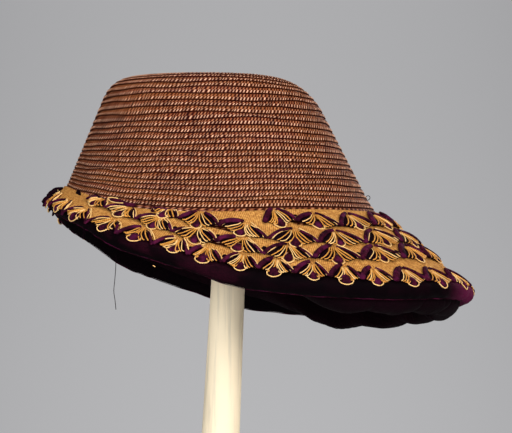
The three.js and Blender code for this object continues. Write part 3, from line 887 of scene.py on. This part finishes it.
class Motif:  # one hanging loop with its cords and arms, about its apex; points are along and down from there
    def __init__(self, tier, pieces, middle):
        self.tier = tier
        self.pieces = pieces
        self.middle = middle
        self.turn = tier.turnAt(middle, 0)
        away = abs(math.degrees(self.turn))
        # towards the back the motifs are less even, and from the side on they are lighter
        self.backness, self.sideness = (
            float(np.clip((away - start) / over, 0, 1)) for start, over in (trim["uneven"], trim["lighter"]))

    def lay(self, kind, side, points, height, radius, flat=1.0, sides=cord["sides"]):
        points = np.asarray(points, float)
        place = self.middle + side * points[:, 0]
        rise = trim["rise"] - points[:, 1]
        path = self.tier.at(place, rise, height)
        up = self.tier.at(place, rise, np.asarray(height) + 1.0) - path
        self.pieces[kind].tube(path, up, radius, np.asarray(radius) * flat, sides)

    def layArm(self, side, half):  # from beside the apex down to the bottom of the V
        depth = trim["rise"]
        bow = jitter(trim["wobble"] * (1 + 1.6 * self.backness))
        hanging = 0.2 + strip["hang"] * self.backness * (self.tier.number == 0)
        build = strip["broad" if (side < 0) == (self.turn < 0) else "thin"]
        bowed = (half * build["bow"][0], depth * build["bow"][1] + bow)
        start = (1.5 + jitter(0.5), -0.3 + jitter(0.5))
        line = bend(start, bowed, (half - 0.3, depth + hanging), strip["steps"])
        line = line[int(random.integers(0, strip["steps"] // 2) * self.sideness):]
        full = random.uniform(*build["width"]) * (1 - 0.25 * self.sideness) - 0.1 * self.backness
        taper = np.sin(np.linspace(0.5, 2.3, len(line))) ** 0.4 * strip["wide"] * full
        height = strip["height"] + strip["arch"] * np.sin(np.linspace(0, math.pi, len(line)))
        self.lay("velvet", side, line, height, taper, strip["tall"] / strip["wide"], strip["sides"])

    def layPaleCord(self, side, half):  # along the arm's upper side, long or short
        depth = trim["rise"]
        begin = random.uniform(0.2, 0.6)
        start = (half * begin, depth * (begin - 0.2) - 1.2)
        pull = (half * (0.5 + begin / 2), depth * (0.36 + begin / 2) - 2.6)
        line = bend(start, pull, (half - 0.6, depth - 2.0 + jitter(0.5)), cord["steps"])
        self.lay("pale", side, line, 1.7, cord["pale"] * random.uniform(0.9, 1.3))

    def layFan(self, side, half):  # below the arm, with a gap after its first cord and a near-black sheet under it, painted shade between the cords
        lines = []
        many = fan["cords"] + (random.random() < fan["oneMore"]) - (half < fan["narrow"])
        swell = 1 + jitter(fan["uneven"])
        loose = fan["loose"][0] + fan["loose"][1] * self.backness
        for i in range(many):
            share = 0 if i == 0 else fan["gap"] + (1 - fan["gap"]) * (i - 1) / (many - 2)
            late = share ** 0.7 * swell
            pace = np.array([(share, share), (late, late), (share, late), (share, share)])
            through = (np.array(fan["first"]) + np.array(fan["toLast"]) * pace) * (half, trim["rise"])
            through = through + np.stack([jitter(loose, 4), jitter(loose, 4)], -1)
            lines.append(smoothCurve(through, cord["steps"]))
            kind = "pale" if i == 0 or random.random() < fan["paleShare"] else "gold"
            lift = cord["swell"] * np.sin(np.linspace(0, math.pi, cord["steps"])) * (1 - share * 0.4)
            self.lay(kind, side, lines[-1], cord["height"] + lift, cord[kind] * random.uniform(0.85, 1.1))
        across = np.linspace(0, 1, 4)[:, None, None]
        leaf = lines[0] * (1 - across) + lines[-1] * across
        place = self.middle + side * leaf[..., 0]
        rise = trim["rise"] - leaf[..., 1]
        shell = np.concatenate([self.tier.at(place, rise, 1.0), self.tier.at(place, rise, 0.5)[::-1]])
        self.pieces["darkAndShade"].sleeve(shell, cells(shell.shape[1], shell.shape[0] + 1))

    def layHole(self, half):  # a dark patch on the canvas above the bottom of the V on the right, painted shade for a hole
        across = half + jitter(0.8)
        down = trim["rise"] - hole["up"] + jitter(0.8)
        steps = np.linspace(-1, 1, len(hole["wide"]))
        line = np.stack([across + steps * hole["lean"], down + steps * hole["half"]], -1)
        self.lay("darkAndShade", 1, line, hole["height"], np.array(hole["wide"]), 0.2, 8)

    def layDrop(self, hang):  # a velvet pad with a pale loop round it
        lean = jitter(drop["lean"])
        size = self.tier.settings["dropSize"] * (1 + jitter(drop["uneven"]))
        pad = np.linspace(-1, 1, 7)
        centre = drop["depth"] + hang + (size - 1) * 2
        spine = np.stack([lean * (pad + 1) / 2, centre + pad * drop["long"] * size], -1)
        girth = np.sqrt(np.maximum(1 - (pad * 0.97) ** 2, 0.03)) * drop["wide"] * size
        self.lay("velvet", 1, spine, drop["height"], girth, drop["tall"] / drop["wide"], 8)
        wide, low = drop["loop"] * size, drop["reach"] + hang + (size - 1) * 4
        upper, widest, lower = drop["bulge"]
        left, right = ([(side * upper * wide, centre - 1.5), (side * widest * wide, centre + 1),
                        (side * lower * wide + lean, low - 1.6)] for side in (-1, 1))
        loop = smoothCurve([*left, (lean, low), *right[::-1]], 15)
        self.lay("pale", 1, loop, drop["height"], cord["pale"] * 1.1)


def trimCanvas(tier, piece):
    length = tier.reached[-1]
    posts = tier.posts(trim["endGap"])
    if tier.closed:
        place = np.linspace(0, length, int(length), endpoint=False)
    else:
        first, last = tier.drops[0], tier.drops[-1]
        room = trim["endRoom"]
        place = np.linspace(first - room, last + room, int(last - first) + 2 * room)
    after = np.clip(np.searchsorted(posts, place), 1, len(posts) - 1)
    left, right = posts[after - 1], posts[after]
    nearest = np.minimum(place - left, right - place)
    apart = nearest / ((right - left) / 2)
    least, deep, wide = trim["scallop"]
    lower = trim["rise"] - (least + deep * (1 - (1 - np.minimum(apart / wide, 1)) ** 2))
    upper = trim["rise"] + 0 * place
    for _ in range(4):  # leaning back moves the top edge along, so its height is found in a few steps
        turn = tier.turnAt(place, upper)
        upper = tier.top(turn) - tier.valley(turn)
    shares = np.linspace(0, 1, trim["canvasRows"])[:, None]
    rise = lower + (upper - lower) * shares
    # the canvas is drawn together at every apex, so folds run out from there
    beside = np.where(place - left < right - place, place - left, place - right)
    above = rise - trim["rise"] + 1.5
    away = np.hypot(beside, above)
    fold = trim["foldSize"] * np.sin(trim["folds"] * np.arctan2(above, beside)) * (shares < 1)
    fold = fold * hump(away, trim["foldReach"], trim["foldReach"])
    upperFace, lowerFace = (tier.at(place + 0 * rise, rise, height + fold)
                            for height in (trim["sheet"], trim["sheet"] - trim["canvas"]))
    shell = np.concatenate([upperFace, lowerFace[::-1]])
    across = np.concatenate([rise, rise[::-1], rise[:1]])
    if tier.closed:
        across = np.concatenate([across, across[:, :1]], 1)
        place = np.append(place, length)
    spot = np.stack([np.broadcast_to(place, across.shape), across], -1)
    if tier.closed:
        piece.grid(shell, spot, loopRows=True, loopColumns=True)
    else:
        piece.sleeve(shell, spot)


for number, settings in enumerate(trim["tiers"]):
    tier = Tier(number, settings)
    node = ["trim_tier_" + settings["name"]]
    canvas = Piece()
    trimCanvas(tier, canvas)
    canvas.build("canvas_" + settings["name"], canvasMap, "braid", node)
    kinds = {
        "velvet": ("velvet_loops_", loopVelvet, "velvet"),
        "darkAndShade": ("shade_sheets_", darkAndShadeVelvet, "velvet"),
        "gold": ("gold_cords_", goldMap, "braid"),
        "pale": ("pale_cords_", paleMap, "braid"),
    }
    pieces = {kind: Piece() for kind in kinds}
    posts = tier.posts(trim["endMotif"])
    for before, middle, after in zip(posts, posts[1:], posts[2:]):
        motif = Motif(tier, pieces, middle)
        hang = jitter(drop["hang"])
        for side, half in ((-1, (middle - before) / 2), (1, (after - middle) / 2)):
            motif.layArm(side, half)
            motif.layPaleCord(side, half)
            motif.layFan(side, half)
        if random.random() < hole["share"]:
            motif.layHole((after - middle) / 2)
        motif.layDrop(hang)
    for kind, (label, material, slot) in kinds.items():
        pieces[kind].build(label + settings["name"], material, slot, node)
print("trim laid")

# The velvet: a roll round the edge, and below it a facing, puffed along the front
velvet = {
    "columns": 900, "rollSteps": 13, "leg": 11, "legPuff": 0.6, "cloth": 1.0, "strawTop": 0.9,
    "strawBottom": -2.1, "backRadius": 3.6, "frontRadius": 5.4, "middle": -0.9, "frontMiddle": -2.2,
    "backInset": 2.2, "wrinkle": 0.35,
    # the fold low on the roll, which carries a thin lighter cord as its painted highlight: how far it stands
    # out, its angle, and how wide it is
    "fold": 0.5, "foldAngle": 0.95, "foldWide": 0.16, "foldHighlight": 0.3, "foldHighlightOut": 0.1, "foldHighlightSides": 6,
    # where the roll hangs fuller or tighter below: degrees from the front, how much, and how wide
    "sags": ((127, 2.6, 10), (103, -2.2, 6), (145, -0.8, 8), (174, 2.2, 14)), "sagAngle": 0.3,
    "puffDepth": 24.5, "puffReach": 18, "puffs": 18, "notch": 0.09, "fullTo": 68, "goneBy": 101,
    "strawUnder": -2.5, "facingCloth": 1.6, "headClear": 0.5, "gather": 0.5, "gathers": 75, "slack": 0.7,
    "slacks": 36,
    # one puff's outline: how far in and how deep as shares of its reach and depth, and where it lies unpuffed
    "outline": ((0.43, 0.21, 0), (-0.03, 0.33, 0.05), (-0.2, 0.56, 0.12), (-0.04, 0.88, 0.25),
                (0.44, 1, 0.5), (1, 0.27, 0.75)),
}


def creases(turn, count, seed):  # uneven small folds running across a strip
    shaken = turn * count + 2.2 * np.sin(turn * 7 + seed) + 1.3 * np.sin(turn * 17 + 2 * seed)
    return np.sin(shaken) * (0.6 + 0.4 * np.sin(turn * 11 + 3 * seed))


def velvetRoll():
    roll = Piece()
    turn = np.arange(velvet["columns"]) / velvet["columns"] * fullTurn
    radius = velvet["backRadius"] + (velvet["frontRadius"] - velvet["backRadius"]) * (0.5 + np.cos(turn) / 2)
    wrinkle = velvet["wrinkle"] * creases(turn, 70, 1.0)
    away = fromFront(turn)
    sag = sum(size * hump(away, where, width) for where, size, width in velvet["sags"])
    frontness = np.clip(np.cos(turn), 0, 1) ** 1.5
    middle = velvet["middle"] + (velvet["frontMiddle"] - velvet["middle"]) * frontness
    length = straw.edge(turn) - velvet["backInset"] * (0.5 - np.cos(turn) / 2) ** 2
    leg, cloth, puff = velvet["leg"], velvet["cloth"], velvet["legPuff"]
    top, bottom = velvet["strawTop"], velvet["strawBottom"]
    rings = [(leg, top + cloth), (leg * 0.5, top + cloth + puff + wrinkle)]
    for angle in math.pi * np.linspace(-0.5, 0.5, velvet["rollSteps"]):
        swell = radius + wrinkle * math.cos(angle * 0.9)
        swell = swell + velvet["fold"] * hump(angle, velvet["foldAngle"], velvet["foldWide"])
        swell = swell + sag * max(0, math.sin(angle + velvet["sagAngle"])) ** 2
        rings.append((-swell * math.cos(angle), middle - swell * math.sin(angle)))
    rings += [(leg * 0.5, bottom - cloth - puff - wrinkle), (leg, bottom - cloth), (leg, bottom),
              (-0.5, bottom), (-0.5, top), (leg, top)]
    spots = [straw.at(turn, length - inward, out + 0 * turn) for inward, out in rings]
    spot = np.stack(np.meshgrid(np.append(away, away[0]), np.arange(len(rings) + 1)), -1).astype(float)
    roll.grid(np.stack(spots), spot, loopRows=True, loopColumns=True)
    roll.build("velvet_edge_roll", edgeVelvet, "velvet", ["velvet_roll"])
    # a thin lighter cord along the fold low on the roll, a painted highlight
    foldHighlight = Piece()
    angle = velvet["foldAngle"]
    swell = radius + velvet["fold"] + sag * math.sin(angle + velvet["sagAngle"]) ** 2
    swell = swell + velvet["foldHighlightOut"] + 0.5 * wrinkle
    line = straw.at(turn, length + swell * math.cos(angle), middle - swell * math.sin(angle))
    line = np.concatenate([line, line[:1]])
    roundOnce = np.append(turn, 0)
    outward = unit(line - straw.at(roundOnce, np.append(length, straw.edge(turn)[0])))
    across = np.cross(unit(np.gradient(line, axis=0)), outward)
    thick = velvet["foldHighlight"] * (0.75 + 0.5 * creases(roundOnce, 9, 5.0))[:, None, None]
    around = (np.arange(velvet["foldHighlightSides"]) / velvet["foldHighlightSides"] * fullTurn)[:, None]
    tube = line[:, None] + thick * (outward[:, None] * np.cos(around) + across[:, None] * np.sin(around))
    spot = cells(velvet["foldHighlightSides"] + 1, len(turn) + 1)
    foldHighlight.grid(tube[:-1], spot, loopRows=True, loopColumns=True)
    foldHighlight.build("velvet_fold_highlight", loopVelvet, "velvet", ["velvet_roll"])


def velvetFacing():
    piece = Piece()
    turn = np.arange(velvet["columns"]) / velvet["columns"] * fullTurn
    length = straw.edge(turn)
    opening = length - straw.stations(turn)[:, 3] - velvet["headClear"]
    top = velvet["strawUnder"]
    under = top - velvet["facingCloth"]
    rollSide = velvet["leg"] + 0.5
    t = np.clip((fromFront(turn) - velvet["fullTo"]) / (velvet["goneBy"] - velvet["fullTo"]), 0, 1)
    full = 1 - t * t * (3 - 2 * t)
    pinch = 1 - np.abs(np.sin(turn * velvet["puffs"] / 2)) ** 0.7
    full = full * (1 - velvet["notch"] * pinch)
    outline = smoothCurve(velvet["outline"], 26)
    rings = [straw.at(turn, length - inward, top + 0 * turn) for inward in (opening, rollSide)]
    for i, (inward, deep, plain) in enumerate(outline):
        share = i / (len(outline) - 1)
        flatIn = rollSide + (opening - rollSide) * plain
        rise = math.sin(math.pi * share)
        gather = velvet["gather"] * creases(turn, velvet["gathers"], 2.0 + share) * rise
        slack = velvet["slack"] * creases(turn + 0.02 * share, velvet["slacks"], 4.0) * rise * full
        inwardNow = flatIn + (velvet["puffReach"] * inward - flatIn) * full
        outNow = under + (-velvet["puffDepth"] * deep - under) * full
        rings.append(straw.at(turn, length - inwardNow, outNow - np.abs(gather) + slack))
    rings.append(straw.at(turn, length - opening, under + 0 * turn))
    piece.grid(np.stack(rings), cells(len(turn) + 1, len(rings) + 1), loopRows=True, loopColumns=True)
    piece.build("velvet_under_facing", liningVelvet, "velvet", ["velvet_facing"])


velvetRoll()
velvetFacing()
print("velvet laid")

# The stand: a turned foot, a tapered post that leans forward a little, and a rounded knob
stand = {
    "footRadius": 82, "footHeight": 14, "footRound": 4, "postLow": 14.8, "postHigh": 9.6, "leanDeg": 2.75,
    "knobRadius": 26, "knobFlat": 20, "knobNeck": 13, "knobHeight": 15, "gap": 0.3, "wall": 1.6, "sides": 96,
}
standFinish = {
    "cream": linear(238, 222, 192), "worn": linear(206, 190, 162), "streak": linear(176, 166, 148),
    "driftSize": 18.0, "driftShare": 0.35, "streakShare": 0.45, "drawn": (220, 220, 9),
    "roughness": (0.6, 0.8), "gloss": 0.15, "bump": 0.25, "bumpDepth": 0.0005,
}


def standMaterial(finish):
    material, wiring, surface = newMaterial("cream_paint")
    streak = wiring.noise(1.0, 4.0, wiring.scaled(wiring.where(), finish["drawn"]), 0.6)
    streaked = wiring.times(wiring.spread(streak, 0.52, 0.72), finish["streakShare"])
    worn = wiring.drift(finish)
    colour = wiring.blend(worn, finish["cream"], finish["worn"])
    colour = wiring.blend(streaked, colour, finish["streak"])
    dress(wiring, surface, finish, colour, streak, wiring.spread(streak, 0.3, 0.8, *finish["roughness"]))
    return material


standMap = standMaterial(standFinish)


def turned(name, profile, forward=0.0, lean=0.0):
    piece = Piece()
    profile = np.asarray(profile, float)
    angle = np.arange(stand["sides"]) / stand["sides"] * fullTurn
    middle = forward + lean * (profile[:, 1] - profile[0, 1])
    rings = np.stack([profile[:, :1] * np.cos(angle) + middle[:, None], profile[:, :1] * np.sin(angle),
                      profile[:, 1:] + 0 * angle], -1)
    u, v = np.meshgrid(np.arange(stand["sides"] + 1) / stand["sides"], profile[:, 1], indexing="xy")
    first = piece.grid(rings, np.stack([u, v], -1), loopColumns=True)
    for row, end in ((0, 0), (len(profile) - 1, 1)):
        ring = first + row * stand["sides"] + np.arange(stand["sides"])
        piece.cap(ring, np.array([middle[row], 0, profile[row, 1]]), (0.5, end))
    piece.build("turned_" + name, standMap, "stand_paint", ["stand_" + name])


def quarter(radius, height, size):  # points round an upper corner of a turned profile
    angles = np.radians(np.linspace(0, 90, 7))
    return [(radius + size * math.cos(a), height + size * math.sin(a)) for a in angles]


knobBottom = bonnet["level"] + bonnet["crownHeight"] - stand["wall"] - stand["gap"] - stand["knobHeight"]
lean = math.tan(math.radians(stand["leanDeg"]))
footRound = stand["footRound"]
turned("foot", [(stand["footRadius"] - 1, 0), (stand["footRadius"], 1)]
       + quarter(stand["footRadius"] - footRound, stand["footHeight"] - footRound, footRound))
postBottom = stand["footHeight"] + stand["gap"]
postTop = knobBottom - stand["gap"]
turned("post", [(stand["postLow"] + (stand["postHigh"] - stand["postLow"]) * share,
                 postBottom + (postTop - postBottom) * share) for share in np.linspace(0, 1, 25)], lean=lean)
knob = smoothCurve([(stand["knobNeck"], 0), (stand["knobRadius"] * 0.85, 0.35 * stand["knobHeight"]),
                    (stand["knobRadius"], 0.65 * stand["knobHeight"]),
                    ((stand["knobRadius"] + stand["knobFlat"]) / 2, 0.92 * stand["knobHeight"]),
                    (stand["knobFlat"], stand["knobHeight"])], 20)
turned("knob", knob + (0, knobBottom), forward=lean * (knobBottom - stand["footHeight"]))
print("stand turned")

# Loose things, each a path with the half sizes of its section. Points of two numbers are in degrees from the
# front and millimetres from the crease towards the crown, points of three in millimetres
loose = {
    "holes": (((-154.5, -1.5), (-150.5, -2.5)), ((-142.5, -2.5), (-138, -3))),
    "holeWide": (0.4, 0.9, 1, 1, 0.9, 0.4), "holeHalf": 2.6, "holeTall": 0.35, "holeOut": 2.3,
    "strip": ((-132.5, -2), (-130, -0.5), (-127.5, -1.5), (-124.5, -3.5), (-121, -3.5)),
    "stripWide": 1.5, "stripTall": 1.0, "stripOut": 2.4,
    "cord": ((-128.5, 0.5), (-131.5, 0.5), (-133.4, -1.2), (-132, -4), (-129, -4.6), (-126, -3.6)),
    "cordOut": 3.3,
    "knots": (((-98, -22, 336.5), (-103.5, -22, 337.5), (-106.5, -22, 334.5)),
              ((-102, -27, 334), (-107, -27, 333), (-109.5, -27, 330)),
              ((-97, -14, 340), (-102, -14, 339.5), (-104.5, -14, 337))),
    "knotWide": 1.5, "knotTall": 1.2,
    "hanging": ((-59.6, -88, 291), (-59.8, -88, 283), (-60.4, -88, 275), (-61, -88, 268), (-60.2, -88, 262),
                (-59.6, -88, 256)),
    "crownLoop": ((102, 0, 332), (104.8, 0, 333), (107.2, 0, 334.6), (106.8, 0, 336.4), (105, 0, 336.2),
                  (104.6, 0, 334.2)),
    "frays": (((-80.6, -84, 309.5), (-80.9, -85, 305.5), (-81.2, -85, 301.8)),
              ((-80.1, -84, 309), (-79.8, -85, 305), (-80.2, -85, 302.6))),
    "speck": ((-35, -116.5, 283), (-33.6, -117, 282)),
    "thick": 0.22,
}


def overCrease(path, out):
    degrees, inwards = np.asarray(path, float).T
    turn = np.radians(degrees)
    return straw.at(turn, straw.crease(turn) - inwards, out)


def looseThings():
    lowest = ["trim_tier_lowest"]
    dark = Piece()
    # the holes are dark patches, painted shade for holes in the canvas; the knots are dark velvet
    for path in loose["holes"]:
        wide = loose["holeHalf"] * np.array(loose["holeWide"])
        line = smoothCurve(overCrease(path, loose["holeOut"]), len(wide))
        dark.tube(line, np.array([-1.0, -0.6, 0.0]), wide, loose["holeTall"], 8)
    for path in loose["knots"]:
        dark.tube(smoothCurve(path, 10), np.array([0.0, -1.0, 0.2]), loose["knotWide"], loose["knotTall"], 8)
    dark.build("velvet_knots_and_hole_shade", darkAndShadeVelvet, "velvet", lowest)
    plum = Piece()
    path = overCrease(loose["strip"], loose["stripOut"])
    up = overCrease(loose["strip"], loose["stripOut"] + 1)[2] - path[2]
    plum.tube(smoothCurve(path, 16), up, loose["stripWide"], loose["stripTall"], 8)
    plum.build("velvet_crown_loop", loopVelvet, "velvet", lowest)
    pale = Piece()
    path = smoothCurve(overCrease(loose["cord"], loose["cordOut"]), 18)
    pale.tube(path, np.array([-0.5, -1.0, 0.3]), cord["pale"], cord["pale"])
    pale.tube(smoothCurve(loose["speck"], 4), np.array([0.0, 1.0, 0.0]), cord["pale"], cord["pale"])
    pale.build("pale_crown_loop", paleMap, "braid", lowest)
    threads = Piece()
    for path in (loose["hanging"], loose["crownLoop"], *loose["frays"]):
        threads.tube(smoothCurve(path, 24), np.array([0.0, 1.0, 0.01]), loose["thick"], loose["thick"])
    threads.build("stray_threads", darkAndShadeVelvet, "velvet", [])


looseThings()
print("loose things added")

# The floor: pale, and clear from below so that the underside can be looked at; its sizes are in metres
floorSheet = {"colour": linear(205, 205, 207), "roughness": 0.9, "radius": 3, "sides": 64, "height": -0.0005}
floorPaint, wiring, surface = newMaterial("floor_paper")
surface["Base Color"].default_value = floorSheet["colour"]
surface["Roughness"].default_value = floorSheet["roughness"]
clear = wiring.node("BsdfTransparent")
either = wiring.node("MixShader")
wiring.put(wiring.node("NewGeometry").outputs["Backfacing"], either.inputs[0])
wiring.put(floorPaint.node_tree.nodes["Principled BSDF"].outputs[0], either.inputs[1])
wiring.put(clear.outputs[0], either.inputs[2])
wiring.put(either.outputs[0], floorPaint.node_tree.nodes["Material Output"].inputs[0])
around = np.linspace(0, fullTurn, floorSheet["sides"] + 1)[:-1]
rimPoints = np.stack([np.cos(around), np.sin(around), 0 * around], -1) * floorSheet["radius"]
rimPoints[:, 2] = floorSheet["height"]
floorMesh = bpy.data.meshes.new("studio_floor")
floorMesh.from_pydata(rimPoints.tolist(), [], [list(range(len(around)))])
floorMesh.materials.append(floorPaint)
placeInScene("studio_floor", floorMesh)

# The camera stands 3.5 m off on the bonnet's right, lower than the brim, and looks up a little
camera = {"distance": 3500, "lookUpDeg": 4.0, "aimX": 31.3, "aimZ": 322.7, "widthAtAim": 341.3, "sensor": 36}
lens = bpy.data.cameras.new("view")
lens.sensor_width = camera["sensor"]
lens.lens = camera["sensor"] * camera["distance"] / camera["widthAtAim"]
lens.clip_end = 50
viewer = placeInScene("view", lens)
lookUp = math.radians(camera["lookUpDeg"])
viewer.location = (camera["aimX"] * mm, -camera["distance"] * math.cos(lookUp) * mm,
                   (camera["aimZ"] - camera["distance"] * math.sin(lookUp)) * mm)
viewer.rotation_euler = (math.pi / 2 + lookUp, 0, 0)
bpy.context.scene.camera = viewer

# The studio: a plain grey paper all round, and soft lamps
studio = {
    # the paper is painted darker upwards and to both sides, a painted shade; paperLight is how strongly it
    # lights the bonnet
    "paper": linear(182, 182, 184), "paperShade": linear(164, 164, 166), "paperWide": 0.0487,
    "paperTall": (0.02, 0.12), "upShare": 0.55, "sideShare": 0.45, "paperLight": 0.12,
    # each lamp: where it stands, how big, how strong, and its colour
    "lamps": {
        "key": ((1200, -1900, 850), 900, 47, (1, 0.97, 0.93)),
        "fill": ((-1500, -1800, 640), 1000, 34, (0.96, 0.98, 1)),
        "front": ((100, -2600, 420), 700, 14, (1, 1, 1)),
        "top": ((150, -300, 1900), 900, 16, (1, 1, 1)),
        "rim": ((900, 1300, 900), 700, 7, (1, 1, 1)),
    },
    "aim": (10, 0, 330),
}
world = bpy.data.worlds.new("backdrop")
world.use_nodes = True
air = Wiring(world.node_tree)
paper = world.node_tree.nodes["Background"]
across, _, upwards = air.parts(air.node("TexCoord").outputs["Generated"])
sideways = air.maths("POWER", air.maths("ABSOLUTE", air.maths("DIVIDE", across, studio["paperWide"])), 2.0)
shade = air.maths("ADD", air.times(air.spread(upwards, *studio["paperTall"]), studio["upShare"]),
                  air.times(air.maths("MINIMUM", sideways, 1.0), studio["sideShare"]))
air.put(air.blend(shade, studio["paper"], studio["paperShade"]), paper.inputs["Color"])
dim = air.maths("MULTIPLY_ADD", air.node("LightPath").outputs["Is Camera Ray"], 1 - studio["paperLight"],
                studio["paperLight"])
air.put(dim, paper.inputs["Strength"])
bpy.context.scene.world = world
bpy.context.scene.view_settings.view_transform = "Standard"
for label, (spot, size, power, colour) in studio["lamps"].items():
    lamp = bpy.data.lights.new(label, "AREA")
    lamp.size = size * mm
    lamp.energy = power
    lamp.color = colour
    holder = placeInScene(label, lamp)
    holder.location = Vector(spot) * mm
    holder.rotation_euler = (Vector(studio["aim"]) - Vector(spot)).to_track_quat("-Z", "Y").to_euler()
